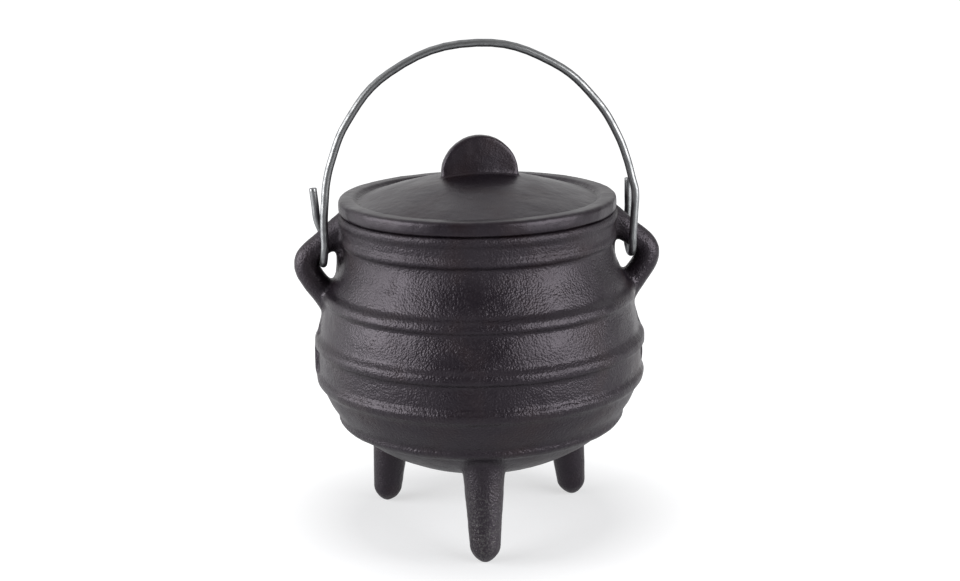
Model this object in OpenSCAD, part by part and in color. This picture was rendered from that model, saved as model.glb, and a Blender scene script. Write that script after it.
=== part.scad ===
// Small three-legged cast-iron cauldron with a lift-off lid and a wire bail.
// Sizes are in millimetres. +Z is up, the ears stand out along X, the bail swings about X,
// and the origin is on the floor under the middle of the pot.

/* [Bowl] */
// Outer radius of the belly between its ribs
belly_r = 63.2; // [60:0.1:66]
// Height of the belly's widest level above the floor
belly_z = 68; // [64:0.5:74]
// Height of the underside of the bowl at its middle
bottom_z = 24.4; // [22:0.1:30]
// Fullness of the lower half of the bowl: 2 is an ellipse, more is squarer
bowl_fullness = 2; // [1.9:0.1:3]
// Outer radius of the neck just under the rim
neck_r = 51.8; // [49:0.1:54]
// Height of the neck above the floor
neck_z = 115.2; // [112:0.2:120]
// Height over which the belly keeps its width before the shoulder turns in
shoulder_h = 29; // [16:1:34]
// Height over which the neck flares into the shoulder
flare_h = 10; // [4:1:16]
// Wall of the bowl
wall = 4.2; // [3:0.1:5.5]

/* [Ribs] */
// Height of the rib on the shoulder
shoulder_rib_z = 95.4; // [92:0.2:99]
// Height of the rib just above the widest level
upper_rib_z = 77.4; // [74:0.2:82]
// Height of the rib just below the widest level
lower_rib_z = 62.4; // [60:0.2:66]
// Height of the rib at the turn of the bottom
bottom_rib_z = 45.6; // [42:0.2:50]
// Width of a rib across its root
rib_w = 5.4; // [3:0.1:7]
// How far a rib stands proud of the belly
rib_proud = 1.8; // [0.8:0.1:2.4]

/* [Rim] */
// Height of the rounded bead above the neck
bead_h = 3.9; // [3:0.1:5]
// How far the bead stands out from the neck
bead_out = 1.7; // [1.2:0.1:2.6]
// Height of the plain band between bead and lip
band_h = 4.4; // [3:0.1:6]
// How far the band stands out from the neck
band_out = 1.1; // [0.4:0.1:1.6]
// Height of the lip round the mouth
lip_h = 3.5; // [2.5:0.1:5]
// How far the lip stands out from the neck
lip_out = 2.2; // [1.8:0.1:3]

/* [Lid] */
// How far the lid's edge lies inside the lip
lid_inset = 0.4; // [0:0.1:1.5]
// Thickness of the lid at its flat edge
lid_edge_h = 5.8; // [4.5:0.1:7]
// Width of the flat edge
lid_edge_w = 5.7; // [4.5:0.1:7]
// Depth of the step inside the flat edge
lid_step = 1.5; // [0.8:0.1:2.2]
// Rise of the dome above the foot of the step
dome_rise = 10; // [7:0.5:13]
// Thickness of the domed plate
lid_wall = 4; // [3:0.1:4.5]
// Depth of the ring that keeps the lid in the mouth
register_h = 5; // [3:0.1:8]
// Thickness of that ring
register_wall = 3.5; // [2.5:0.1:5]
// Running gap between that ring and the mouth
register_gap = 1.2; // [0.6:0.1:2]

/* [Grip] */
// Radius of the half-round grip on the lid
grip_r = 15; // [11:0.1:17]
// Depth to which the grip's middle is sunk in the dome
grip_sunk = 0.5; // [0:0.1:3]
// Distance of the grip off the middle of the lid
grip_off = 1.1; // [0:0.1:2]
// Turn of the grip, and of the lid with it, away from the line of the ears, in degrees
grip_turn = 3.5; // [-90:0.5:90]
// Thickness of the grip at its foot
grip_t = 6; // [4.5:0.1:8]
// Thickness of the grip at its edge
grip_edge_t = 4.2; // [3:0.1:4.4]
// Rounding of the grip's edge
grip_round = 1.2; // [0.6:0.1:1.4]

/* [Ears] */
// How far the ear's upper corner lies below the neck
ear_drop = 4.3; // [4:0.1:6]
// How far the upper bar's root lies below the mouth
ear_top_drop = 5.2; // [5.1:0.1:6.5]
// Height of the ear's short outer side
ear_side_h = 4.1; // [3.5:0.1:5]
// How much further out the short side ends than it starts
ear_side_out = 0.6; // [0.2:0.1:1]
// Radius of the ear's round bar
ear_bar_r = 4.7; // [3.9:0.1:4.8]
// Radius of the ear's two rounded corners
ear_corner_r = 5; // [4.9:0.1:5.3]

/* [Legs] */
// How far inside the belly's radius the feet stand
foot_inset = 17.7; // [15:0.1:22]
// Turn of the front leg off its even spacing, in degrees
front_leg_turn = -4; // [-6:0.5:6]
// Turn of the left leg off its even spacing, in degrees
left_leg_turn = -3.5; // [-6:0.5:6]
// Turn of the right leg off its even spacing, in degrees
right_leg_turn = -1; // [-6:0.5:6]
// Outward lean of a leg, in degrees
leg_splay = 6.5; // [3:0.5:9]
// Radius of a leg where its rounded foot starts
leg_foot_r = 5.8; // [4.5:0.1:6.5]
// Radius of a leg where it meets the bowl
leg_root_r = 7.7; // [6.6:0.1:9]
// Height of the rounded foot
foot_h = 6; // [4:0.5:8]
// Depth worn off the tip of each foot
foot_wear = 0.4; // [0.3:0.1:0.8]

/* [Bail] */
// Diameter of the bail wire
wire_d = 3; // [2.4:0.1:3.4]
// Gap between the rim's lip and the wire, along X
hook_gap = 3.7; // [2.5:0.1:5]
// Distance from the wire out to the middle of the ear's upper corner, along X
hook_inset = 6.5; // [6.2:0.1:7.2]
// Clearance between the hook and the ear's bar
hook_clear = 0.4; // [0.3:0.1:0.6]
// Length of the straight part of the bail above its pivot
bail_leg = 23.8; // [18:0.1:30]
// Outward slope of the straight parts towards their hooks, in degrees
bail_splay = 5; // [0:0.5:8]
// Height of the hooks' cut ends above the pivot
tail_h = 19.5; // [12:0.1:26]
// Outward lean of the cut end on the left, in degrees
tail_lean = 13; // [0:1:16]

/* [Hidden] */
$fn = 96;
CAST_IRON = [0.13, 0.12, 0.13];
GALVANISED = [0.72, 0.73, 0.74];

// Steps in which the curves of the bowl and the lid are drawn
outline_steps = 20;

// The rim stacks on the neck, and the lid sits on the mouth
bead_r = neck_r + bead_out;
band_r = neck_r + band_out;
lip_r = neck_r + lip_out;
band_z = neck_z + bead_h;
lip_z = band_z + band_h;
mouth_z = lip_z + lip_h;
mouth_r = neck_r - wall;
lip_round = lip_h / 3;

// Point on a superellipse of the given half axes and power, from the pole to the equator
function round_point(half_w, half_h, power, angle) =
    [half_w * pow(sin(angle), 2 / power), -half_h * pow(cos(angle), 2 / power)];

// Point on a cubic curve with upright ends
function blend_point(start, end, start_hold, end_hold, t) =
    pow(1 - t, 3) * start
    + 3 * pow(1 - t, 2) * t * [start[0], start[1] + start_hold]
    + 3 * (1 - t) * t * t * [end[0], end[1] - end_hold]
    + pow(t, 3) * end;

// Outside of the bowl without its ribs, from the middle of the bottom up to the neck
bowl_outline = concat(
    [for (i = [0 : outline_steps - 1])
        [0, belly_z] + round_point(belly_r, belly_z - bottom_z, bowl_fullness, 90 * i / outline_steps)],
    [for (i = [0 : outline_steps])
        blend_point([belly_r, belly_z], [neck_r, neck_z], shoulder_h, flare_h, i / outline_steps)]
);

// Inside of the bowl, one wall in from the outside
function inward(points, i) =
    let (run = points[i + 1] - points[i - 1])
    points[i] + wall * [-run[1], run[0]] / norm(run);

bowl_inside = concat(
    [[0, bottom_z + wall]],
    [for (i = [1 : len(bowl_outline) - 2]) inward(bowl_outline, i)],
    [[mouth_r, neck_z]]
);

// Radius of the bowl without its ribs at a height
function belly_radius(z) = lookup(z, [for (p = bowl_outline) [p[1], p[0]]]);

// The lid follows the mouth
lid_r = lip_r - lid_inset;
lid_top_z = mouth_z + lid_edge_h;
lid_chamfer = lid_edge_h / 4;
step_r = lid_r - lid_edge_w;
dome_r = step_r - lid_step;
dome_foot_z = lid_top_z - lid_step;
dome_top_z = dome_foot_z + dome_rise;
dome_power = 1.6;
register_r = mouth_r - register_gap;
hollow_r = register_r - register_wall;

// The wire passes beside the lip, and the ear's upper corner lies outside the wire
wire_r = wire_d / 2;
bail_x = lip_r + hook_gap + wire_r;
corner_x = bail_x + hook_inset;

// The upper bar of an ear runs from the rim down to its upper corner
corner_z = neck_z - ear_drop;
upper_root_z = mouth_z - ear_top_drop;
upper_slope = atan2(upper_root_z - corner_z, corner_x - neck_r);
upper_root_depth = wall / 2;

// The lower bar ends on the shoulder rib
lower_root_x = belly_radius(shoulder_rib_z);
lower_root_z = shoulder_rib_z - 0.8 * ear_bar_r;
lower_root_depth = 2 * ear_bar_r;

// The bail turns about the middle of the upper bar, and its hook clears the slanting bar all round
wire_knuckle_r = 1.03 * wire_r;
pivot_z = corner_z + hook_inset * tan(upper_slope);
hook_r = (ear_bar_r + hook_clear + wire_r) / cos(upper_slope);
arch_r = (bail_x - bail_leg * sin(bail_splay)) / cos(bail_splay);
arch_z = pivot_z + bail_leg * cos(bail_splay) - arch_r * sin(bail_splay);

// The legs taper on past the bowl's surface, which cuts them off
foot_circle_r = belly_r - foot_inset;
leg_root_z = bottom_z + leg_root_r;
leg_taper = (leg_root_r - leg_foot_r) / (leg_root_z - foot_h);
leg_cut_z = belly_z;
foot_power = 1.5;

// Point of the lid's domed side at a radius, or some depth below it
function dome_point(r, depth) =
    [r, dome_foot_z + dome_rise * (1 - pow(r / dome_r, dome_power)) - depth];

// Flat ring section with rounded outer corners
module ring_section(inner, outer, low, high, round_r) {
    translate([inner, low])
        square([outer - round_r - inner, high - low]);
    translate([inner, low + round_r])
        square([outer - inner, high - low - 2 * round_r]);
    for (z = [low + round_r, high - round_r])
        translate([outer - round_r, z])
            circle(r = round_r);
}

// Section of one rib, a bead sunk in the belly along its normal
module rib_section(z) {
    bead_r = (rib_w * rib_w / 4 + rib_proud * rib_proud) / (2 * rib_proud);
    lean = atan2(belly_radius(z - 1) - belly_radius(z + 1), 2);
    sunk = bead_r - rib_proud;
    translate([belly_radius(z) - sunk * cos(lean), z - sunk * sin(lean)])
        circle(r = bead_r, $fn = 48);
}

// Section of the rim, bead, band and lip in one
module rim_section() {
    translate([mouth_r, neck_z])
        square([band_r - mouth_r, mouth_z - neck_z - lip_round]);
    translate([bead_r - bead_h / 2, neck_z + bead_h / 2])
        circle(d = bead_h, $fn = 48);
    ring_section(mouth_r, lip_r, lip_z, mouth_z, lip_round);
}

// Outside of the whole pot, filled in, which trims whatever is cast onto it
module pot_filled() {
    rotate_extrude() {
        polygon(concat(bowl_outline, [[0, neck_z]]));
        for (z = [shoulder_rib_z, upper_rib_z, lower_rib_z, bottom_rib_z])
            rib_section(z);
        translate([0, neck_z])
            square([mouth_r, mouth_z - neck_z]);
        rim_section();
    }
}

// Hollow of the pot, out through its mouth
module pot_hollow() {
    rotate_extrude() {
        polygon(concat(bowl_inside, [[0, neck_z]]));
        translate([0, neck_z - 1])
            square([mouth_r, mouth_z - neck_z + 2]);
    }
}

module pot_body() {
    color(CAST_IRON)
        difference() {
            pot_filled();
            pot_hollow();
        }
}

// One leg standing on its tip at the origin, before it is leaned out
module leg_blank() {
    rotate_extrude()
        polygon(concat(
            [for (i = [0 : outline_steps])
                [0, foot_h] + round_point(leg_foot_r, foot_h, foot_power, 90 * i / outline_steps)],
            [[leg_foot_r + leg_taper * (leg_cut_z - foot_h), leg_cut_z], [0, leg_cut_z]]
        ));
}

// Leg at an angle round the pot, worn flat on the floor and cut off by the bowl
module leg(angle) {
    color(CAST_IRON)
        difference() {
            rotate(angle)
                translate([foot_circle_r, 0, -foot_wear])
                    rotate([0, -leg_splay, 0])
                        leg_blank();
            pot_filled();
            translate([-belly_r, -belly_r, -2 * foot_h])
                cube([2 * belly_r, 2 * belly_r, 2 * foot_h]);
        }
}

module leg_front() {
    leg(-90 + front_leg_turn);
}

module leg_left() {
    leg(150 + left_leg_turn);
}

module leg_right() {
    leg(30 + right_leg_turn);
}

// Round bar in the XZ plane from some depth before its start to its end
module ear_bar(start, end, depth) {
    run = end - start;
    translate([start[0], 0, start[1]])
        rotate([0, atan2(run[0], run[1]), 0])
            translate([0, 0, -depth])
                cylinder(r = ear_bar_r, h = norm(run) + depth);
}

// Ear on the +X side: two bars and a short outer side between rounded corners, cut off by the pot
module ear() {
    upper = [corner_x, corner_z];
    lower = upper + [ear_side_out, -ear_side_h];
    color(CAST_IRON)
        difference() {
            union() {
                ear_bar([neck_r, upper_root_z], upper, upper_root_depth);
                ear_bar(upper, lower, 0);
                ear_bar([lower_root_x, lower_root_z], lower, lower_root_depth);
                for (corner = [upper, lower])
                    translate([corner[0], 0, corner[1]])
                        sphere(r = ear_corner_r);
            }
            pot_filled();
        }
}

module ear_right() {
    ear();
}

module ear_left() {
    mirror([1, 0, 0])
        ear();
}

module lid_disc() {
    color(CAST_IRON)
        rotate_extrude()
            polygon(concat(
                [for (i = [0 : outline_steps]) dome_point(dome_r * i / outline_steps, 0)],
                [
                    [step_r, lid_top_z],
                    [lid_r - lid_chamfer / 2, lid_top_z],
                    [lid_r, lid_top_z - lid_chamfer / 2],
                    [lid_r, mouth_z + 2 * lid_chamfer],
                    [lid_r - lid_chamfer, mouth_z],
                    [register_r, mouth_z],
                    [register_r, mouth_z - register_h],
                    [hollow_r, mouth_z - register_h]
                ],
                [for (i = [outline_steps : -1 : 0]) dome_point(hollow_r * i / outline_steps, lid_wall)]
            ));
}

// Disc whose upper half is the grip, tapering from its middle to its rounded edge
module grip_disc() {
    rotate([90, 0, 0])
        rotate_extrude()
            difference() {
                union() {
                    polygon([
                        [0, -grip_t / 2],
                        [grip_r - grip_round, -grip_edge_t / 2],
                        [grip_r - grip_round, grip_edge_t / 2],
                        [0, grip_t / 2]
                    ]);
                    ring_section(0, grip_r, -grip_edge_t / 2, grip_edge_t / 2, grip_round);
                }
                translate([-grip_r, -grip_t])
                    square([grip_r, 2 * grip_t]);
            }
}

module lid_grip() {
    color(CAST_IRON)
        difference() {
            rotate(grip_turn)
                translate([grip_off, 0, dome_top_z - grip_sunk])
                    grip_disc();
            rotate_extrude()
                polygon(concat(
                    [for (i = [0 : outline_steps]) dome_point(dome_r * i / outline_steps, 0)],
                    [[dome_r, dome_foot_z - 2 * grip_r], [0, dome_foot_z - 2 * grip_r]]
                ));
        }
}

// Bent wire in the XZ plane about the origin, from one angle on through a sweep
module wire_bend(ring_r, start, sweep) {
    rotate([90, 0, 0])
        rotate(start)
            rotate_extrude(angle = sweep)
                translate([ring_r, 0])
                    circle(r = wire_r, $fn = 48);
}

// Straight wire up from the origin, leaning by an angle towards +X, with a knuckle where it bends
module wire_run(length, lean) {
    sphere(r = wire_knuckle_r, $fn = 48);
    rotate([0, lean, 0])
        cylinder(r = wire_r, h = length, $fn = 48);
}

// Hook round an ear: straight wire in front, a half ring under the bar and a cut end behind
module hook(side, lean) {
    translate([side * bail_x, 0, pivot_z]) {
        translate([0, -hook_r, 0]) {
            wire_run(bail_leg, -side * bail_splay);
            rotate([0, -side * bail_splay, 0])
                translate([0, 0, bail_leg])
                    sphere(r = wire_knuckle_r, $fn = 48);
        }
        rotate(90)
            wire_bend(hook_r, 180, 180);
        translate([0, hook_r, 0])
            wire_run(tail_h / cos(lean), side * lean);
    }
}

module bail() {
    color(GALVANISED) {
        translate([0, -hook_r, arch_z])
            wire_bend(arch_r, bail_splay, 180 - 2 * bail_splay);
        hook(1, 0);
        hook(-1, tail_lean);
    }
}

pot_body();
leg_front();
leg_left();
leg_right();
ear_left();
ear_right();
lid_disc();
lid_grip();
bail();
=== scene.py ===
"""Looks of a small three-legged cast-iron cauldron: the pot, its lid, its wire bail and a plain studio."""

import math

import bpy
import numpy as np
from bpy.props import FloatProperty, FloatVectorProperty, IntProperty, PointerProperty
from mathutils import Matrix, Vector


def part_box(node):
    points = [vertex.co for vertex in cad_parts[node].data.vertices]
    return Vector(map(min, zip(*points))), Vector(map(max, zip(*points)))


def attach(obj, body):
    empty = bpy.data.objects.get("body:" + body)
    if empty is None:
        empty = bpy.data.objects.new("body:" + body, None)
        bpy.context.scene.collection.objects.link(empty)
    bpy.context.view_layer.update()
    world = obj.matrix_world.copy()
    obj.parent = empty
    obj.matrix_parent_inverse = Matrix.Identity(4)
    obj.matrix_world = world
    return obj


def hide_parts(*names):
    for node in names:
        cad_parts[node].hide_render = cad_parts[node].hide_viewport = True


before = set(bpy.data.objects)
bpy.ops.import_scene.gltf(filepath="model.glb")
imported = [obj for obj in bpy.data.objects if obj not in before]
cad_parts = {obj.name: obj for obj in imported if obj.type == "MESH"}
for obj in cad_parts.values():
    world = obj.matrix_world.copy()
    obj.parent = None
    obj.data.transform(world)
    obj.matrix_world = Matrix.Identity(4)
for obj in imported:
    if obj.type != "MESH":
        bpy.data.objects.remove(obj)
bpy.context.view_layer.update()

bl_info = {
    "name": "Cast-Iron Cauldron",
    "version": (1, 0, 0),
    "blender": (4, 5, 0),
    "location": "View3D > Sidebar > Cauldron",
    "description": "Models and finishes a three-legged cast-iron cauldron with a lid and a wire bail",
    "category": "Object",
}

MM = 0.001


def length(name, description, millimetres):
    """Property for a real size, given in millimetres and kept in metres."""
    return FloatProperty(name=name, description=description, default=millimetres * MM,
                         unit="LENGTH", subtype="DISTANCE", precision=5)


def turn(name, description, degrees):
    """Property for an angle, given in degrees and kept in radians."""
    return FloatProperty(name=name, description=description, default=math.radians(degrees),
                         unit="ROTATION", subtype="ANGLE")


def colour(name, description, shade):
    """Property for a linear colour."""
    return FloatVectorProperty(name=name, description=description, default=shade, size=3,
                               min=0, max=1, subtype="COLOR")


# Sizes of the pot, the lid, the bail and the studio

class PotSizes(bpy.types.PropertyGroup):
    """Sizes of the pot casting"""

    belly_radius: length("Belly radius", "Outer radius of the belly between its ribs", 63.2)
    belly_level: length("Belly level", "Height of the belly's widest level", 68)
    bottom_level: length("Bottom level", "Height of the underside of the bowl", 24.4)
    neck_radius: length("Neck radius", "Outer radius of the neck under the rim", 51.8)
    neck_level: length("Neck level", "Height of the neck", 115.2)
    shoulder_hold: length("Shoulder hold", "Height over which the belly keeps its width", 29)
    flare_hold: length("Flare hold", "Height over which the neck flares into the shoulder", 10)
    wall: length("Wall", "Thickness of the bowl's wall", 4.2)
    rib_width: length("Rib width", "Width of a rib across its root", 5.4)
    rib_height: length("Rib height", "How far a rib stands proud", 1.9)
    bead_height: length("Bead height", "Height of the bead above the neck", 3.9)
    band_height: length("Band height", "Height of the plain band above the bead", 4.4)
    lip_height: length("Lip height", "Height of the lip round the mouth", 3.5)
    flash_width: length("Flash width", "Width of the fins left where the moulds parted", 2.6)
    ear_bar_radius: length("Ear bar radius", "Radius of the ears' bars", 4.65)
    left_pad_radius: length("Left pad radius", "Radius of the pad between the left ear's roots", 3.8)
    right_pad_radius: length("Right pad radius", "Radius of the pad between the right ear's roots", 2.6)
    leg_splay: turn("Leg splay", "Outward lean of the legs", 6.5)
    foot_radius: length("Foot radius", "Radius of a leg where its rounded foot starts", 5.8)
    foot_height: length("Foot height", "Height of a rounded foot", 6)
    foot_wear: length("Foot wear", "Depth worn off the tip of each foot", 0.4)
    leg_root_radius: length("Leg root radius", "Radius of a leg where it meets the bowl", 7.7)
    foot_circle: length("Foot circle", "Radius of the circle on which the feet stand", 45.5)
    skin_grid: length("Skin grid", "Spacing of the casting's surface grid", 0.66)


class LidSizes(bpy.types.PropertyGroup):
    """Sizes of the lid casting"""

    edge_radius: length("Edge radius", "Outer radius of the lid", 53.6)
    edge_height: length("Edge height", "Thickness of the lid at its flat edge", 5.8)
    edge_width: length("Edge width", "Width of the flat edge", 5.7)
    step: length("Step", "Depth of the step inside the flat edge", 1.5)
    dome_rise: length("Dome rise", "Rise of the dome above the step", 10)
    wall: length("Wall", "Thickness of the domed plate", 4)
    register_radius: length("Register radius", "Outer radius of the ring under the lid", 46.4)
    register_wall: length("Register wall", "Thickness of the ring under the lid", 3.5)
    register_depth: length("Register depth", "Depth of the ring under the lid", 5)
    grip_radius: length("Grip radius", "Radius of the half-round grip", 15)
    grip_thickness: length("Grip thickness", "Thickness of the grip in its middle", 6)
    grip_edge: length("Grip edge", "Thickness of the grip at its edge", 4.3)
    grip_offset: length("Grip offset", "Distance of the grip off the middle of the lid", 1.1)
    grip_turn: turn("Grip turn", "Turn of the grip away from the line of the ears", 3.5)
    skin_grid: length("Skin grid", "Spacing of the casting's surface grid", 0.55)


class BailSizes(bpy.types.PropertyGroup):
    """Sizes of the wire bail"""

    wire_radius: length("Wire radius", "Radius of the wire", 1.5)
    pivot_x: length("Pivot distance", "Distance of each hook from the middle of the pot", 59.2)
    pivot_level: length("Pivot level", "Height of the bail's pivot", 116.15)
    hook_drop: length("Hook drop", "Drop of the hooks below the pivot", 8.25)
    leg_depth: length("Leg depth", "How far the legs stand in front of the pivot", 9.35)
    tail_depth: length("Tail depth", "How far the cut ends stand behind the pivot", 8.7)
    right_bow: length("Right bow", "How far the bottom of the right hook bows outwards", 0.35)
    left_bow: length("Left bow", "How far the bottom of the left hook bows outwards", 0.75)
    arch_level: length("Arch level", "Height of the centre of the arch", 134.33)
    tail_height: length("Tail height", "Height of the cut ends above the pivot", 19.5)
    tail_foot_out: length("Tail foot out", "How far outside its leg each cut end starts", 0.5)
    tail_knee: length("Tail knee", "Height above the pivot where the cut ends straighten", 7)
    right_tail_out: length("Right tail out", "How far outside its leg the right cut end stands", 1.3)
    left_tail_out: length("Left tail out", "How far outside its leg the left cut end stands at its knee", 2.7)
    left_tail_lean: turn("Left tail lean", "Outward lean of the left cut end", 5.5)


class FinishShades(bpy.types.PropertyGroup):
    """Colours of the finishes and the floor"""

    iron: colour("Iron", "Dark skin of the cast iron", (0.0068, 0.0042, 0.0072))
    iron_worn: colour("Worn iron", "Rubbed crests of the cast iron", (0.020, 0.016, 0.020))
    iron_rust: colour("Rusty iron", "Faint rusty tinge of the cast iron", (0.018, 0.009, 0.008))
    iron_bare: colour("Bare iron", "Specks on the front foot where the iron is bare", (0.15, 0.145, 0.145))
    zinc: colour("Zinc", "Bright zinc coat of the wire", (0.32, 0.325, 0.33))
    zinc_dull: colour("Dull zinc", "Weathered zinc coat of the wire", (0.2, 0.205, 0.21))
    iron_sheen: colour("Iron sheen", "Tint of what the iron reflects", (0.98, 0.89, 1.0))
    zinc_sheen: colour("Zinc sheen", "Tint of what the wire reflects at its edges", (0.5, 0.5, 0.52))
    floor: colour("Floor", "Floor under the pot", (0.45, 0.455, 0.47))


class StudioSizes(bpy.types.PropertyGroup):
    """Place of the camera, size of the floor and fineness of turned pieces"""

    camera_distance: length("Camera distance", "Distance of the camera along the floor", 636.9)
    camera_height: length("Camera height", "Height of the camera above the floor", 255.4)
    camera_shift: length("Camera shift", "Sideways place of the camera", 0.44)
    camera_azimuth: turn("Camera azimuth", "Turn of the camera round the pot", -5)
    camera_tilt: turn("Camera tilt", "Angle at which the camera looks down", 14.18)
    camera_roll: turn("Camera roll", "Roll of the camera about its line of sight", 1.009)
    lens: FloatProperty(name="Lens", description="Focal length of the camera in millimetres", default=62.95)
    floor_radius: length("Floor radius", "Radius of the floor", 4000)
    spin_steps: IntProperty(name="Spin steps", description="Steps of a turned outline", default=240)


# Work in object mode and edit mode

def object_mode():
    """Leaves edit mode, if any piece is in it, and selects nothing."""
    if bpy.context.object and bpy.context.object.mode != "OBJECT":
        bpy.ops.object.mode_set(mode="OBJECT")
    bpy.ops.object.select_all(action="DESELECT")


def take(piece):
    """Makes a piece the only selected one and the active one."""
    object_mode()
    piece.select_set(True)
    bpy.context.view_layer.objects.active = piece
    return piece


def edit(piece):
    """Opens a piece in edit mode with everything selected."""
    take(piece)
    bpy.ops.object.mode_set(mode="EDIT")
    bpy.ops.mesh.select_all(action="SELECT")


def places(piece):
    """Places of a piece's vertices, one row each."""
    spots = np.empty(len(piece.data.vertices) * 3)
    piece.data.vertices.foreach_get("co", spots)
    return spots.reshape(-1, 3)


def edit_vertices(piece, chosen):
    """Opens a piece in edit mode with the chosen vertices selected."""
    edit(piece)
    bpy.ops.mesh.select_mode(type="VERT")
    bpy.ops.mesh.select_all(action="DESELECT")
    bpy.ops.object.mode_set(mode="OBJECT")
    piece.data.vertices.foreach_set("select", np.asarray(chosen, dtype=bool))
    bpy.ops.object.mode_set(mode="EDIT")


def named(piece, name):
    """Names a piece and its mesh."""
    piece.name = name
    piece.data.name = name
    return piece


def draw_outline(name, outline):
    """Draws a chain of edges through (x, z) points, vertex by vertex, from one merged plane."""
    object_mode()
    bpy.ops.mesh.primitive_plane_add(size=MM, location=(0, 0, 0))
    piece = named(bpy.context.object, name)
    edit(piece)
    bpy.ops.mesh.merge(type="CENTER")
    x, z = outline[0]
    bpy.ops.transform.translate(value=(x, 0, z))
    for (x, z), (next_x, next_z) in zip(outline, outline[1:]):
        bpy.ops.mesh.extrude_region_move(
            TRANSFORM_OT_translate={"value": (next_x - x, 0, next_z - z)})
    return piece


def turn_outline(name, outline, steps):
    """Turns an outline that starts and ends on the Z axis into a closed solid."""
    piece = draw_outline(name, outline)
    bpy.ops.mesh.select_all(action="SELECT")
    bpy.ops.mesh.spin(steps=steps, angle=math.tau, center=(0, 0, 0), axis=(0, 0, 1))
    bpy.ops.mesh.select_all(action="SELECT")
    bpy.ops.mesh.remove_doubles(threshold=0.02 * MM)
    bpy.ops.mesh.normals_make_consistent(inside=False)
    object_mode()
    return piece


def settle(piece):
    """Puts a piece's place, turn and scale into its mesh."""
    take(piece)
    bpy.ops.object.transform_apply(location=True, rotation=True, scale=True)
    return piece


def apply_modifier(piece, kind, **settings):
    """Adds a modifier to a piece and applies it."""
    take(piece)
    modifier = piece.modifiers.new(kind.title(), kind)
    for name, value in settings.items():
        setattr(modifier, name, value)
    bpy.ops.object.modifier_apply(modifier=modifier.name)


def cut_away(piece, cutter):
    """Cuts away what of a piece lies inside a cutter."""
    apply_modifier(piece, "BOOLEAN", operation="DIFFERENCE", object=cutter, solver="EXACT")


def join(name, pieces):
    """Joins pieces into the first."""
    take(pieces[0])
    for piece in pieces:
        piece.select_set(True)
    bpy.ops.object.join()
    return named(bpy.context.object, name)


def discard(piece):
    """Deletes a helper that isn't part of the object."""
    take(piece)
    bpy.ops.object.delete()


def soften(piece, chosen, rounds):
    """Rounds off the chosen part of a skin, which leaves fillets where pieces meet."""
    edit_vertices(piece, chosen)
    bpy.ops.mesh.vertices_smooth(factor=0.5, repeat=rounds)
    object_mode()


def thin_out(piece, chosen, share):
    """Leaves only a share of the faces in the chosen part of a skin."""
    edit_vertices(piece, chosen)
    bpy.ops.mesh.decimate(ratio=share)
    object_mode()


def roughen(piece, name, grain, height):
    """Lifts and sinks a skin by clouds of the given grain and height."""
    texture = bpy.data.textures.new(name, "CLOUDS")
    texture.noise_scale = grain
    texture.noise_depth = 2
    apply_modifier(piece, "DISPLACE", texture=texture, texture_coords="LOCAL",
                   strength=height, mid_level=0.5)


def skin(piece, grid):
    """Gives joined solids one closed skin."""
    apply_modifier(piece, "REMESH", mode="VOXEL", voxel_size=grid)


# Outlines

def bowl_curve(pot):
    """Outside of the bowl without its ribs, as radius and height, from the bottom to the neck."""
    lower_steps = 130
    upper_steps = 90
    angle = np.linspace(0, math.pi / 2, lower_steps, endpoint=False)
    lower = np.stack([
        pot.belly_radius * np.sin(angle),
        pot.belly_level - (pot.belly_level - pot.bottom_level) * np.cos(angle)
    ], axis=1)
    t = np.linspace(0, 1, upper_steps)[:, None]
    start = np.array([pot.belly_radius, pot.belly_level])
    end = np.array([pot.neck_radius, pot.neck_level])
    upper = ((1 - t) ** 3 * start
             + 3 * (1 - t) ** 2 * t * (start + [0, pot.shoulder_hold])
             + 3 * (1 - t) * t ** 2 * (end - [0, pot.flare_hold])
             + t ** 3 * end)
    return np.concatenate([lower, upper])


def across(curve):
    """Unit vectors square to a curve, to its outer side."""
    run = np.gradient(curve, axis=0)
    run /= np.linalg.norm(run, axis=1)[:, None]
    return np.stack([run[:, 1], -run[:, 0]], axis=1)


# Level of each rib, the side of its steep edge, 1 above and -1 below, and its share of the full height
RIBS = ((95.4 * MM, -1, 1), (77.4 * MM, -1, 1), (62.4 * MM, 1, 0.85), (45.6 * MM, 1, 0.8))


def ribbed_curve(pot):
    """Outside of the bowl with its four ribs, each steep on one side and sloping on the other."""
    curve = bowl_curve(pot)
    run = np.concatenate([[0], np.cumsum(np.linalg.norm(np.diff(curve, axis=0), axis=1))])
    lift = np.zeros(len(curve))
    half = pot.rib_width / 2
    steep_start = 0.5 * half
    steep_run = 0.5 * half
    slope_start = 0.25 * half
    slope_run = 1.1 * half
    for level, steep_side, share in RIBS:
        along = (run - np.interp(level, curve[:, 1], run)) * steep_side
        steep = np.clip((along - steep_start) / steep_run, 0, 1)
        slope = np.clip((-slope_start - along) / slope_run, 0, 1)
        rise = np.sqrt(1 - steep ** 2) * (0.5 + 0.5 * np.cos(math.pi * slope))
        lift = np.maximum(lift, pot.rib_height * share * rise)
    return curve + across(curve) * lift[:, None]


def arc(centre, radius, start, end, steps):
    """Points on an arc between two angles in degrees."""
    return [(centre[0] + radius * math.cos(a), centre[1] + radius * math.sin(a))
            for a in map(math.radians, np.linspace(start, end, steps))]


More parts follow.
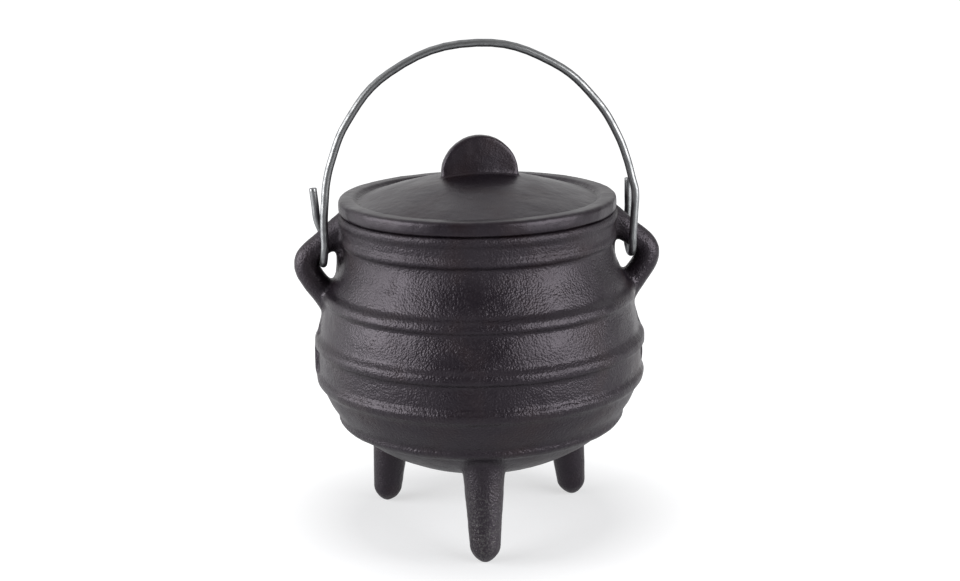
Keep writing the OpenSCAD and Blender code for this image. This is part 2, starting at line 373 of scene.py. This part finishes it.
def rim_curve(pot):
    """Outside of the rim, from the neck's bead up over the lip to the inside of the mouth."""
    bead_top = pot.neck_level + pot.bead_height
    lip_bottom = bead_top + pot.band_height
    mouth = lip_bottom + pot.lip_height
    bead_radius = pot.neck_radius + 1.9 * MM
    band_radius = pot.neck_radius + 1.1 * MM
    band_top_radius = band_radius + 0.1 * MM
    lip_radius = pot.neck_radius + 2.2 * MM
    mouth_radius = pot.neck_radius - pot.wall
    bead = pot.bead_height / 2
    corner = pot.lip_height / 3
    groove_radius = band_radius - 0.35 * MM
    return (arc((bead_radius - bead, pot.neck_level + bead), bead, -70, 55, 12)
            + [(groove_radius, bead_top + 0.2 * MM), (band_radius, bead_top + 1.0 * MM),
               (band_top_radius, lip_bottom - 0.9 * MM), (groove_radius, lip_bottom - 0.1 * MM)]
            + arc((lip_radius - corner, lip_bottom + corner), corner, -70, 0, 5)
            + arc((lip_radius - corner, mouth - corner), corner, 0, 90, 6)
            + arc((mouth_radius + corner, mouth - corner), corner, 90, 180, 6))


def inside_curve(pot, depth):
    """Surface at some depth inside the bowl's outside, from the neck down to the middle of the bottom."""
    curve = bowl_curve(pot)
    stride = 5
    sunk = (curve - across(curve) * depth)[::-stride]
    sunk = sunk[sunk[:, 0] > MM]
    start = (pot.neck_radius - depth, pot.neck_level + 2 * MM)
    end = (0, pot.bottom_level + depth)
    return [start] + [tuple(p) for p in sunk] + [end]


# Pieces of the pot

def cast_bowl(pot, steps):
    """Bowl with its ribs and rim, one wall thick."""
    outline = ([(0, pot.bottom_level)] + [tuple(p) for p in ribbed_curve(pot)[1:]]
               + rim_curve(pot) + inside_curve(pot, pot.wall))
    return turn_outline("bowl", outline, steps)


def cast_core(pot, steps):
    """Solid that reaches half way into the wall, and trims the roots of the legs and ears."""
    mouth = pot.neck_level + pot.bead_height + pot.band_height + pot.lip_height
    top = mouth + MM
    depth = pot.wall / 2
    outline = [(0, top), (pot.neck_radius - depth, top)] + inside_curve(pot, depth)
    return turn_outline("core", outline, steps)


def cast_leg(pot, azimuth):
    """Leg that stands on a worn, rounded foot and tapers out to its root."""
    fullness = 4 / 3
    flat_end = 0.32
    rings = 12
    sides = 48
    foot = [(pot.foot_radius * math.sin(a) ** fullness, pot.foot_height * (1 - math.cos(a) ** fullness))
            for a in np.linspace(flat_end, math.pi / 2, rings)]
    root_level = pot.bottom_level + pot.leg_root_radius
    taper = (pot.leg_root_radius - pot.foot_radius) / (root_level - pot.foot_height)
    top = 46 * MM
    shaft_start = pot.foot_height + 3 * MM
    shaft = [(pot.foot_radius + taper * (level - pot.foot_height), level)
             for level in np.linspace(shaft_start, top, rings)]
    leg = turn_outline("leg", [(0, foot[0][1])] + foot + shaft + [(0, top)], sides)
    leg.rotation_euler = (0, -pot.leg_splay, azimuth)
    leg.location = (pot.foot_circle * math.cos(azimuth), pot.foot_circle * math.sin(azimuth), -pot.foot_wear)
    settle(leg)
    edit(leg)
    bpy.ops.mesh.bisect(plane_co=(0, 0, 0), plane_no=(0, 0, 1), clear_inner=True, use_fill=True)
    object_mode()
    return leg


# Middle line of an ear's bar: distance from the pot's axis and height in millimetres, and share of thickness
EAR_BENDS = ((48.5, 124.3, 1.22), (53.0, 121.0, 1.16), (58.0, 117.2, 1.06), (62.6, 113.8, 1.0),
             (65.3, 111.4, 1.01), (66.7, 108.7, 1.03), (66.4, 105.9, 1.06), (65.0, 103.0, 1.08),
             (62.5, 99.4, 1.1), (59.0, 94.8, 1.16), (54.0, 88.0, 1.32))

# Middle line of the pad between an ear's roots: distance from the pot's axis and height in millimetres
EAR_PAD = ((51.4, 119), (51.4, 110), (52.0, 100))


def sweep_bar(name, route, radii, sides):
    """Round bar that runs smoothly through the places of a route, closed at both ends.

    A bevel depth of 1 makes each point's radius the radius of the bar there.
    """
    curve = bpy.data.curves.new(name, "CURVE")
    curve.dimensions = "3D"
    curve.bevel_depth = 1
    curve.bevel_resolution = sides // 2 - 2
    curve.resolution_u = 6
    curve.use_fill_caps = True
    spline = curve.splines.new("BEZIER")
    spline.bezier_points.add(len(route) - 1)
    for point, place, radius in zip(spline.bezier_points, route, radii):
        point.co = place
        point.radius = radius
        point.handle_left_type = point.handle_right_type = "AUTO"
    bar = bpy.data.objects.new(name, curve)
    bpy.context.scene.collection.objects.link(bar)
    take(bar)
    bpy.ops.object.convert(target="MESH")
    bar = named(bpy.context.object, name)
    edit(bar)
    bpy.ops.mesh.remove_doubles(threshold=0.01 * MM)
    bpy.ops.mesh.normals_make_consistent(inside=False)
    object_mode()
    return bar


def cast_ear(pot, side):
    """Ear on one side of the pot: a round bar from the rim out to a corner and back to the shoulder."""
    route = [Vector((side * x, 0, z)) * MM for x, z, share in EAR_BENDS]
    radii = [pot.ear_bar_radius * share for x, z, share in EAR_BENDS]
    return sweep_bar("ear", route, radii, 32)


def cast_pad(pot, side):
    """Pad that thickens the neck between an ear's roots, more on the left than on the right."""
    radius = pot.right_pad_radius if side > 0 else pot.left_pad_radius
    route = [Vector((side * x, 0, z)) * MM for x, z in EAR_PAD]
    return sweep_bar("ear_pad", route, [radius] * len(route), 32)


# Height of a parting fin above the bowl at levels from the lower rib up to the ear, in millimetres
FLASH = ((58, 0.1), (61, 1.5), (66, 1.9), (75, 1.9), (79, 1.5), (82, 0.9), (94, 0.9), (98, 0.3))


def cast_flash(pot, side):
    """Fin on one side of the bowl, left where the two halves of the mould parted."""
    curve = bowl_curve(pot)
    square = across(curve)

    def at(level, height):
        place = [np.interp(level * MM, curve[:, 1], curve[:, i]) for i in (0, 1)]
        out = [np.interp(level * MM, curve[:, 1], square[:, i]) for i in (0, 1)]
        return tuple(p + o * height * MM for p, o in zip(place, out))

    sunk = 1.5
    outer = [at(level, height) for level, height in FLASH]
    inner = [at(level, -sunk) for level, height in reversed(FLASH)]
    fin = draw_outline("flash", outer + inner)
    bpy.ops.mesh.select_all(action="SELECT")
    bpy.ops.mesh.edge_face_add()
    bpy.ops.mesh.extrude_region_move(TRANSFORM_OT_translate={"value": (0, pot.flash_width, 0)})
    bpy.ops.mesh.select_all(action="SELECT")
    bpy.ops.transform.translate(value=(0, -pot.flash_width / 2, 0))
    bpy.ops.mesh.normals_make_consistent(inside=False)
    object_mode()
    fin.rotation_euler = (0, 0, 0 if side > 0 else math.pi)
    return settle(fin)


# Directions of the front, the left and the right leg
LEG_AZIMUTHS = (math.radians(-94), math.radians(146.5), math.radians(29))

# Reach of the fillets: away from a leg's axis, either side of an ear, and the levels between which they lie
LEG_FILLET_REACH = 13 * MM
LEG_FILLET_LEVELS = (27 * MM, 46 * MM)
EAR_FILLET_REACH = 10 * MM
EAR_FILLET_RADIUS = 49 * MM
EAR_FILLET_LEVELS = (84 * MM, 125 * MM)

# Rounds of smoothing that leave a fillet, and that take the marks of the grid off a whole skin
FILLET_ROUNDS = 14
POLISH_ROUNDS = 3


def between(values, limits):
    """Which values lie between two limits."""
    low, high = limits
    return (values > low) & (values < high)


def near_roots(pot, spots):
    """Which spots of the pot's skin lie round the roots of its legs, and which round its ears."""
    x, y, z = spots.T
    near_leg = np.zeros(len(spots), dtype=bool)
    for azimuth in LEG_AZIMUTHS:
        axis_radius = pot.foot_circle - z * math.tan(pot.leg_splay)
        away = np.hypot(x - axis_radius * math.cos(azimuth), y - axis_radius * math.sin(azimuth))
        near_leg |= (away < LEG_FILLET_REACH) & between(z, LEG_FILLET_LEVELS)
    near_ear = (np.abs(y) < EAR_FILLET_REACH) & (np.hypot(x, y) > EAR_FILLET_RADIUS)
    return near_leg, near_ear & between(z, EAR_FILLET_LEVELS)


def inside_bowl(pot, spots):
    """Which spots of the pot's skin lie inside the bowl, under its mouth and above its bottom."""
    x, y, z = spots.T
    outside = np.interp(z, *bowl_curve(pot)[:, ::-1].T)
    return (np.hypot(x, y) < outside - 2.2 * MM) & between(z, (26 * MM, 118 * MM))


def cast_pot(pot, steps):
    """Whole pot casting in one skin, with fillets at its legs and ears and a sand-cast surface."""
    bowl = cast_bowl(pot, steps)
    core = cast_core(pot, steps // 2)
    parts = [cast_leg(pot, azimuth) for azimuth in LEG_AZIMUTHS]
    parts += [cast_ear(pot, side) for side in (1, -1)] + [cast_pad(pot, side) for side in (1, -1)]
    for part in parts:
        cut_away(part, core)
    discard(core)
    parts += [cast_flash(pot, side) for side in (1, -1)]
    casting = join("pot_casting", [bowl] + parts)
    skin(casting, pot.skin_grid)
    near_leg, near_ear = near_roots(pot, places(casting))
    soften(casting, near_leg, FILLET_ROUNDS)
    soften(casting, near_ear, FILLET_ROUNDS)
    soften(casting, np.ones(len(near_leg), dtype=bool), POLISH_ROUNDS)

    roughen(casting, "casting_swell", 9 * MM, 0.35 * MM)
    roughen(casting, "casting_grain", 2.2 * MM, 0.12 * MM)
    thin_out(casting, inside_bowl(pot, places(casting)), 0.1)
    apply_modifier(casting, "DECIMATE", ratio=0.5)
    return casting


# Pieces of the lid

def lid_outline(lid, seat):
    """Half section of the lid, from the top of the dome round to its underside."""
    top = seat + lid.edge_height
    step_radius = lid.edge_radius - lid.edge_width
    dome_radius = step_radius - lid.step
    foot = top - lid.step
    corner = 1.5 * MM
    small = 0.8 * MM
    fullness = 1.6

    def dome(radius, depth=0.0):
        return (radius, foot + lid.dome_rise * (1 - (radius / dome_radius) ** fullness) - depth)

    hollow = lid.register_radius - lid.register_wall
    outside = [dome(r) for r in np.linspace(0, dome_radius, 46)]
    edge = ([(step_radius, top)]
            + arc((lid.edge_radius - corner, top - corner), corner, 90, 0, 6)
            + arc((lid.edge_radius - corner, seat + corner), corner, 0, -90, 6))
    ring = ([(lid.register_radius, seat)]
            + arc((lid.register_radius - small, seat - lid.register_depth + small), small, 0, -90, 4)
            + arc((hollow + small, seat - lid.register_depth + small), small, -90, -180, 4))
    return outside + edge + ring + [dome(r, lid.wall) for r in np.linspace(hollow, 0, 24)]


def cast_grip(lid, dome_top):
    """Half-round grip, thicker in its middle than at its rounded edge, with its foot sunk in the dome."""
    below_middle = 4.5 * MM
    sunk = 0.5 * MM
    facing_share = 0.9
    inset_share = 0.9
    object_mode()
    bpy.ops.mesh.primitive_cylinder_add(
        vertices=96, radius=lid.grip_radius, depth=lid.grip_edge, location=(0, 0, 0),
        rotation=(math.radians(90), 0, 0))
    grip = named(bpy.context.object, "grip")
    settle(grip)
    swell = (lid.grip_thickness - lid.grip_edge) / 2
    edit(grip)
    bpy.ops.mesh.select_mode(type="FACE")
    for side in (-1, 1):
        bpy.ops.mesh.select_all(action="DESELECT")
        bpy.ops.object.mode_set(mode="OBJECT")
        for face in grip.data.polygons:
            face.select = face.normal.y * side > facing_share
        bpy.ops.object.mode_set(mode="EDIT")
        bpy.ops.mesh.inset(thickness=lid.grip_radius * inset_share)
        bpy.ops.transform.translate(value=(0, side * swell, 0))
    bpy.ops.mesh.select_all(action="SELECT")
    bpy.ops.mesh.bisect(plane_co=(0, 0, -below_middle), plane_no=(0, 0, 1), clear_inner=True, use_fill=True)
    object_mode()
    apply_modifier(grip, "BEVEL", width=1.7 * MM, segments=4, angle_limit=math.radians(50))
    grip.rotation_euler = (0, 0, lid.grip_turn)
    grip.location = (lid.grip_offset * math.cos(lid.grip_turn), lid.grip_offset * math.sin(lid.grip_turn),
                     dome_top - sunk)
    return settle(grip)


def near_grip(lid, dome_top, spots):
    """Which spots of the lid's skin lie round the foot of its grip, and which lie aside from the grip."""
    x, y, z = spots.T
    along = x * math.cos(lid.grip_turn) + y * math.sin(lid.grip_turn)
    aside = y * math.cos(lid.grip_turn) - x * math.sin(lid.grip_turn)
    foot_length = 19 * MM
    foot_width = 6 * MM
    grip_foot = (np.abs(along) < foot_length) & (np.abs(aside) < foot_width)
    grip_foot &= between(z, (dome_top - 3 * MM, dome_top + 2.2 * MM))
    return grip_foot, np.abs(aside) > foot_width


def cast_lid(lid, seat, steps):
    """Whole lid casting in one skin, with a fillet round the foot of its grip."""
    plate = turn_outline("plate", lid_outline(lid, seat), steps)
    dome_top = seat + lid.edge_height - lid.step + lid.dome_rise
    casting = join("lid_casting", [plate, cast_grip(lid, dome_top)])
    skin(casting, lid.skin_grid)

    spots = places(casting)
    x, y, z = spots.T
    grip_foot, aside = near_grip(lid, dome_top, spots)
    dome = (np.hypot(x, y) < 44 * MM) & between(z, (seat + lid.wall, dome_top)) & aside
    grip_rounds = 8
    dome_rounds = 90
    soften(casting, grip_foot, grip_rounds)
    soften(casting, dome, dome_rounds)
    soften(casting, np.ones(len(x), dtype=bool), POLISH_ROUNDS)
    roughen(casting, "lid_swell", 8 * MM, 0.3 * MM)
    roughen(casting, "lid_grain", 2 * MM, 0.06 * MM)

    x, y, z = places(casting).T
    under = (z < seat - 0.3 * MM) | ((np.hypot(x, y) < 42 * MM) & (z < seat + 2 * MM))
    thin_out(casting, under, 0.3)
    return casting


# The bail

# Arch as it was bent by hand: angle in degrees, from its right foot to its left, and radius in millimetres
ARCH_BENDS = ((4, 59.0), (12, 58.0), (22, 57.3), (38, 56.8), (60, 57.0), (90, 57.5),
              (125, 57.5), (150, 57.2), (165, 57.4), (173, 58.0))

# Legs between the hooks and the arch: distance from the pot's axis and height in millimetres
RIGHT_LEG = ((59.8, 126), (60, 134))
LEFT_LEG = ((-58.5, 134), (-59.2, 125))


def bail_route(bail):
    """Middle line of the wire, from the right cut end over the arch to the left cut end."""
    half_depth = (bail.tail_depth + bail.leg_depth) / 2
    hook_middle = (bail.tail_depth - bail.leg_depth) / 2

    def hook(side, bow):
        middle = Vector((side * bail.pivot_x, hook_middle, bail.pivot_level))
        return [middle + Vector((side * (bail.tail_foot_out * (1 + math.cos(a)) / 2 + bow * math.sin(a)),
                                 math.cos(a) * half_depth, -math.sin(a) * bail.hook_drop))
                for a in np.linspace(0, math.pi, 21)]

    def tail(side, knee_out, lean):
        knee = Vector((side * (bail.pivot_x + knee_out), bail.tail_depth, bail.pivot_level + bail.tail_knee))
        tip = knee + Vector((side * math.tan(lean), 0, 1)) * (bail.tail_height - bail.tail_knee)
        return [tip, knee.lerp(tip, 0.5), knee]

    def leg(bends):
        return [Vector((out * MM, -bail.leg_depth, level * MM)) for out, level in bends]

    arch = [Vector((radius * MM * math.cos(math.radians(angle)), -bail.leg_depth,
                    bail.arch_level + radius * MM * math.sin(math.radians(angle))))
            for angle, radius in ARCH_BENDS]
    right_end = tail(1, bail.right_tail_out, 0) + hook(1, bail.right_bow)
    left_end = tail(-1, bail.left_tail_out, bail.left_tail_lean) + hook(-1, bail.left_bow)
    return right_end + leg(RIGHT_LEG) + arch + leg(LEFT_LEG) + left_end[::-1]


def bend_bail(bail):
    """Wire bail, one smooth run of round wire with clean cut ends."""
    route = bail_route(bail)
    wire = sweep_bar("bail_wire", route, [bail.wire_radius] * len(route), 16)
    apply_modifier(wire, "BEVEL", width=0.2 * MM, segments=2, angle_limit=math.radians(60))
    return wire


# Finishes

class Nodes:
    """Short way to lay out a material's nodes."""

    def __init__(self, name):
        self.material = bpy.data.materials.new(name)
        self.material.use_nodes = True
        self.tree = self.material.node_tree
        self.shader = self.tree.nodes["Principled BSDF"]
        self.coordinates = self.tree.nodes.new("ShaderNodeTexCoord").outputs["Object"]

    def add(self, kind, inputs=(), **settings):
        """Adds a node, and links or sets its inputs."""
        node = self.tree.nodes.new(kind)
        for name, value in settings.items():
            setattr(node, name, value)
        for key, value in dict(inputs).items():
            if isinstance(value, bpy.types.NodeSocket):
                self.tree.links.new(value, node.inputs[key])
            else:
                node.inputs[key].default_value = value
        return node

    def noise(self, grain, detail=2.0, roughness=0.5):
        """Noise whose features are about one grain across."""
        return self.add("ShaderNodeTexNoise", {
            "Vector": self.coordinates, "Scale": 1 / grain, "Detail": detail, "Roughness": roughness
        }).outputs["Fac"]

    def cells(self, width):
        """Distance from the middles of scattered cells of some width."""
        return self.add("ShaderNodeTexVoronoi", {
            "Vector": self.coordinates, "Scale": 1 / width, "Randomness": 1.0
        }).outputs["Distance"]

    def ramp(self, value, low, high, start=0.0, end=1.0):
        """Maps a value from one range onto another."""
        return self.add("ShaderNodeMapRange", {
            "Value": value, "From Min": low, "From Max": high, "To Min": start, "To Max": end
        }).outputs["Result"]

    def combine(self, operation, first, second):
        """Sum or product of two values."""
        return self.add("ShaderNodeMath", {0: first, 1: second}, operation=operation).outputs[0]

    def mix(self, factor, first, second):
        """Mixes two colours."""
        node = self.add("ShaderNodeMix", data_type="RGBA")
        self.tree.links.new(factor, node.inputs["Factor"])
        for socket, value in ((node.inputs[6], first), (node.inputs[7], second)):
            if isinstance(value, bpy.types.NodeSocket):
                self.tree.links.new(value, socket)
            else:
                socket.default_value = (*value, 1)
        return node.outputs[2]

    def bump(self, height, strength, distance, normal=None):
        """Bump from a height, on top of another bump."""
        inputs = {"Height": height, "Strength": strength, "Distance": distance}
        if normal is not None:
            inputs["Normal"] = normal
        return self.add("ShaderNodeBump", inputs).outputs["Normal"]

    def finish(self, **links):
        """Links or sets the shader's inputs, named with spaces for underscores."""
        for name, value in links.items():
            socket = self.shader.inputs[name.replace("_", " ")]
            if isinstance(value, bpy.types.NodeSocket):
                self.tree.links.new(value, socket)
            else:
                socket.default_value = value
        return self.material


def cast_iron(name, shades, grain, depth, rim_haze):
    """Dark sand-cast iron: a grainy skin, rubbed on its crests, with a dull sheen and a duller rim."""
    nodes = Nodes(name)
    patches = nodes.noise(14 * MM, detail=3)
    grains = nodes.noise(grain, roughness=0.6)
    sand = nodes.cells(grain * 0.8)
    pit = nodes.ramp(nodes.cells(3.2 * MM), 0.05, 0.2)

    # Crests rubbed lighter, lighter patches and a faint rusty tinge
    rubbed = nodes.ramp(grains, 0.5, 0.8)
    shade = nodes.mix(rubbed, tuple(shades.iron), tuple(shades.iron_worn))
    mottled = nodes.mix(nodes.ramp(patches, 0.35, 0.7, 0, 0.35), shade, tuple(shades.iron_worn))
    tinge = nodes.ramp(nodes.noise(18 * MM, detail=3), 0.5, 0.75, 0, 0.6)
    mottled = nodes.mix(tinge, mottled, tuple(shades.iron_rust))

    # The front foot: low down and at the front, with bare specks all over, and more gloss on its right as a
    # painted highlight where the right lamp's highlight falls
    place = nodes.add("ShaderNodeSeparateXYZ", {"Vector": nodes.coordinates}).outputs
    low_down = nodes.ramp(place["Z"], 38 * MM, 16 * MM)
    at_front = nodes.ramp(place["Y"], -15 * MM, -30 * MM)
    worn = nodes.combine("MULTIPLY", low_down, at_front)
    # Painted highlight: the right of the front foot reflects more, where the right lamp's highlight falls
    painted_highlight_side = nodes.combine("MULTIPLY", worn, nodes.ramp(place["X"], -5 * MM, 1 * MM, 0, 0.5))
    specks = nodes.ramp(nodes.noise(0.9 * MM, detail=3, roughness=0.7), 0.5, 0.66)
    bare = nodes.combine("MULTIPLY", specks, worn)
    mottled = nodes.mix(bare, mottled, tuple(shades.iron_bare))

    # Sheen, duller in patches and up towards the rim
    dulled = nodes.ramp(place["Z"], 108 * MM, 116 * MM, 0, rim_haze)
    roughness = nodes.combine("ADD", nodes.ramp(patches, 0.3, 0.7, 0.3, 0.42), dulled)

    # Relief of the sand, coarser in places, and its pits
    coarse = nodes.ramp(nodes.noise(9 * MM), 0.35, 0.65, 0.6, 1.0)
    relief = nodes.bump(grains, coarse, depth)
    relief = nodes.bump(sand, coarse, -0.9 * depth, relief)
    relief = nodes.bump(pit, 0.25, depth * 0.6, relief)
    return nodes.finish(
        Base_Color=mottled, Metallic=bare, Roughness=roughness,
        Specular_IOR_Level=nodes.combine("ADD", painted_highlight_side, 0.5),
        Specular_Tint=(*shades.iron_sheen, 1), Normal=relief)


def zinc_wire(name, shades):
    """Zinc-coated wire, bright with dull patches."""
    nodes = Nodes(name)
    patches = nodes.noise(3.5 * MM, detail=3, roughness=0.6)
    scratches = nodes.noise(0.6 * MM)
    dull = nodes.ramp(patches, 0.42, 0.68)
    return nodes.finish(
        Base_Color=nodes.mix(dull, tuple(shades.zinc), tuple(shades.zinc_dull)),
        Metallic=1.0, Specular_Tint=(*shades.zinc_sheen, 1),
        Roughness=nodes.ramp(patches, 0.35, 0.7, 0.3, 0.44),
        Normal=nodes.bump(scratches, 0.25, 0.015 * MM))


def seen_rays(tree, depth, near, far):
    """Factor for rays that show the background: 1 for the camera and through glass, and for gloss
    1 at the back of the studio, which fades to the dim front between two depths."""
    dim_front = 0.15
    path = tree.nodes.new("ShaderNodeLightPath")
    lit = tree.nodes.new("ShaderNodeMapRange")
    tree.links.new(depth, lit.inputs["Value"])
    lit.inputs["From Min"].default_value = near
    lit.inputs["From Max"].default_value = far
    lit.inputs["To Min"].default_value = dim_front
    gloss = tree.nodes.new("ShaderNodeMath")
    gloss.operation = "MULTIPLY"
    tree.links.new(path.outputs["Is Glossy Ray"], gloss.inputs[0])
    tree.links.new(lit.outputs["Result"], gloss.inputs[1])
    total = gloss.outputs[0]
    for ray in ("Is Camera Ray", "Is Transmission Ray"):
        either = tree.nodes.new("ShaderNodeMath")
        either.operation = "MAXIMUM"
        tree.links.new(path.outputs[ray], either.inputs[0])
        tree.links.new(total, either.inputs[1])
        total = either.outputs[0]
    return total


def studio_white(name, shades):
    """Pale floor that keeps the shadow of what stands on it and fades into a white background."""
    nodes = Nodes(name)
    tree = nodes.tree
    tree.nodes.remove(nodes.shader)
    place = nodes.add("ShaderNodeSeparateXYZ", {"Vector": nodes.coordinates})
    reach = nodes.add("ShaderNodeVectorMath", {0: nodes.coordinates}, operation="LENGTH").outputs["Value"]
    glow = nodes.ramp(reach, 50 * MM, 110 * MM, 0.58, 1.0)
    seen = seen_rays(tree, place.outputs["Y"], -250 * MM, 400 * MM)
    emission = nodes.add("ShaderNodeEmission", {"Strength": nodes.combine("MULTIPLY", glow, seen)})
    plain = nodes.add("ShaderNodeBsdfDiffuse", {"Color": (*shades.floor, 1)})
    both = nodes.add("ShaderNodeAddShader", {0: plain.outputs["BSDF"], 1: emission.outputs["Emission"]})
    tree.links.new(both.outputs["Shader"], tree.nodes["Material Output"].inputs["Surface"])
    return nodes.material


def dress(piece, material, body, slot, *nodes):
    """Gives a piece its finish, its body and the nodes that it stands for."""
    piece.data.materials.clear()
    piece.data.materials.append(material)
    take(piece)
    bpy.ops.object.shade_smooth()
    object_mode()
    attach(piece, body)
    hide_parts(*nodes)
    return piece


# Studio

def lay_floor(studio, shades):
    """Round floor under the pot."""
    object_mode()
    bpy.ops.mesh.primitive_circle_add(vertices=96, radius=studio.floor_radius, fill_type="NGON",
                                      location=(0, 0, 0))
    floor = named(bpy.context.object, "studio_floor")
    floor.data.materials.append(studio_white("studio_white", shades))


# Direction in which the background is the brightest: behind and above the pot and a little to its left
BRIGHT_SIDE = (-0.3, 0.72, 0.6)


def light_background(scene):
    """White background for what is seen, and a soft plain light for the rest."""
    soft_light = 0.12
    world = bpy.data.worlds.new("studio_world")
    scene.world = world
    world.use_nodes = True
    tree = world.node_tree
    background = tree.nodes["Background"]
    background.inputs["Color"].default_value = (1, 1, 1, 1)
    direction = tree.nodes.new("ShaderNodeTexCoord")
    depth = tree.nodes.new("ShaderNodeVectorMath")
    depth.operation = "DOT_PRODUCT"
    tree.links.new(direction.outputs["Generated"], depth.inputs[0])
    depth.inputs[1].default_value = BRIGHT_SIDE
    strength = tree.nodes.new("ShaderNodeMath")
    strength.operation = "MAXIMUM"
    strength.inputs[0].default_value = soft_light
    tree.links.new(seen_rays(tree, depth.outputs["Value"], -0.2, 1.0), strength.inputs[1])
    tree.links.new(strength.outputs[0], background.inputs["Strength"])


# Lamps: name, place, side lengths and power, in metres and watts; each one faces the pot
LAMPS = (
    ("left_softbox", (-0.83, -0.19, 0.30), 0.8, 0.58, 7.9),
    ("right_softbox", (0.70, -0.52, 0.31), 0.8, 0.6, 7.8),
)


def hang_lamps():
    """Soft lamps left and right."""
    target = Vector((0, 0, 80 * MM))
    for name, place, width, height, power in LAMPS:
        object_mode()
        bpy.ops.object.light_add(type="AREA", location=place)
        lamp = bpy.context.object
        lamp.name = name
        lamp.data.shape = "RECTANGLE"
        lamp.data.size = width
        lamp.data.size_y = height
        lamp.data.energy = power
        lamp.rotation_euler = (target - Vector(place)).to_track_quat("-Z", "Y").to_euler()


def place_camera(scene, studio):
    """Camera at the photograph's place, looking a little down and rolled a little."""
    about = Matrix.Rotation(studio.camera_azimuth, 3, "Z")
    tilt = studio.camera_tilt
    roll = studio.camera_roll
    right = about @ Vector((1, 0, 0))
    ahead = about @ Vector((0, math.cos(tilt), -math.sin(tilt)))
    up = about @ Vector((0, math.sin(tilt), math.cos(tilt)))
    image_right = right * math.cos(roll) - up * math.sin(roll)
    image_up = right * math.sin(roll) + up * math.cos(roll)
    place = about @ Vector((studio.camera_shift, -studio.camera_distance, studio.camera_height))
    object_mode()
    bpy.ops.object.camera_add(location=place)
    camera = bpy.context.object
    camera.name = "photo_camera"
    camera.rotation_euler = Matrix((image_right, image_up, -ahead)).transposed().to_euler()
    camera.data.sensor_width = 36
    camera.data.lens = studio.lens
    camera.data.clip_start = 10 * MM
    scene.camera = camera


# Operators

class CAULDRON_OT_cast_pot(bpy.types.Operator):
    """Cast the pot with its ribs, rim, legs and ears"""

    bl_idname = "cauldron.cast_pot"
    bl_label = "Cast Pot"

    def execute(self, context):
        scene = context.scene
        pot = cast_pot(scene.cauldron_pot, scene.cauldron_studio.spin_steps)
        iron = cast_iron("pot_iron", scene.cauldron_shades, grain=1.0 * MM, depth=0.2 * MM, rim_haze=0.1)
        dress(pot, iron, "pot", "cast_iron",
              "pot_body", "leg_front", "leg_left", "leg_right", "ear_left", "ear_right")
        return {"FINISHED"}


class CAULDRON_OT_cast_lid(bpy.types.Operator):
    """Cast the lid with its dome and half-round grip"""

    bl_idname = "cauldron.cast_lid"
    bl_label = "Cast Lid"

    def execute(self, context):
        scene = context.scene
        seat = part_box("pot_body")[1].z
        lid = cast_lid(scene.cauldron_lid, seat, scene.cauldron_studio.spin_steps)
        iron = cast_iron("lid_iron", scene.cauldron_shades, grain=0.8 * MM, depth=0.045 * MM, rim_haze=0)
        dress(lid, iron, "lid", "lid_iron", "lid_disc", "lid_grip")
        return {"FINISHED"}


class CAULDRON_OT_bend_bail(bpy.types.Operator):
    """Bend the wire bail and hook it on the ears"""

    bl_idname = "cauldron.bend_bail"
    bl_label = "Bend Bail"

    def execute(self, context):
        scene = context.scene
        wire = bend_bail(scene.cauldron_bail)
        dress(wire, zinc_wire("zinc_wire", scene.cauldron_shades), "bail", "galvanised_wire", "bail")
        return {"FINISHED"}


class CAULDRON_OT_set_studio(bpy.types.Operator):
    """Set the floor, the background, the lamps and the camera"""

    bl_idname = "cauldron.set_studio"
    bl_label = "Set Studio"

    def execute(self, context):
        scene = context.scene
        studio = scene.cauldron_studio
        lay_floor(studio, scene.cauldron_shades)
        light_background(scene)
        hang_lamps()
        place_camera(scene, studio)
        scene.view_settings.view_transform = "Standard"
        return {"FINISHED"}


class CAULDRON_PT_sidebar(bpy.types.Panel):
    """Sizes, colours and steps of the cauldron"""

    bl_label = "Cauldron"
    bl_idname = "CAULDRON_PT_sidebar"
    bl_space_type = "VIEW_3D"
    bl_region_type = "UI"
    bl_category = "Cauldron"

    def draw(self, context):
        scene = context.scene
        for title, operator, settings in (
            ("Pot", CAULDRON_OT_cast_pot, scene.cauldron_pot),
            ("Lid", CAULDRON_OT_cast_lid, scene.cauldron_lid),
            ("Bail", CAULDRON_OT_bend_bail, scene.cauldron_bail),
            ("Studio", CAULDRON_OT_set_studio, scene.cauldron_studio),
            ("Shades", None, scene.cauldron_shades),
        ):
            box = self.layout.box()
            box.label(text=title)
            for name in settings.__annotations__:
                box.prop(settings, name)
            if operator:
                box.operator(operator.bl_idname)


CLASSES = (PotSizes, LidSizes, BailSizes, FinishShades, StudioSizes,
           CAULDRON_OT_cast_pot, CAULDRON_OT_cast_lid, CAULDRON_OT_bend_bail, CAULDRON_OT_set_studio,
           CAULDRON_PT_sidebar)
SETTINGS = {"cauldron_pot": PotSizes, "cauldron_lid": LidSizes, "cauldron_bail": BailSizes,
            "cauldron_shades": FinishShades, "cauldron_studio": StudioSizes}


def register():
    """Adds the classes and the scene's settings."""
    for part in CLASSES:
        bpy.utils.register_class(part)
    for name, group in SETTINGS.items():
        setattr(bpy.types.Scene, name, PointerProperty(type=group))


def unregister():
    """Takes the scene's settings and the classes away."""
    for name in SETTINGS:
        delattr(bpy.types.Scene, name)
    for part in reversed(CLASSES):
        bpy.utils.unregister_class(part)


def main():
    """Makes the cauldron and its studio."""
    register()
    bpy.ops.cauldron.set_studio()
    bpy.ops.cauldron.cast_pot()
    bpy.ops.cauldron.cast_lid()
    bpy.ops.cauldron.bend_bail()


if __name__ == "__main__":
    main()
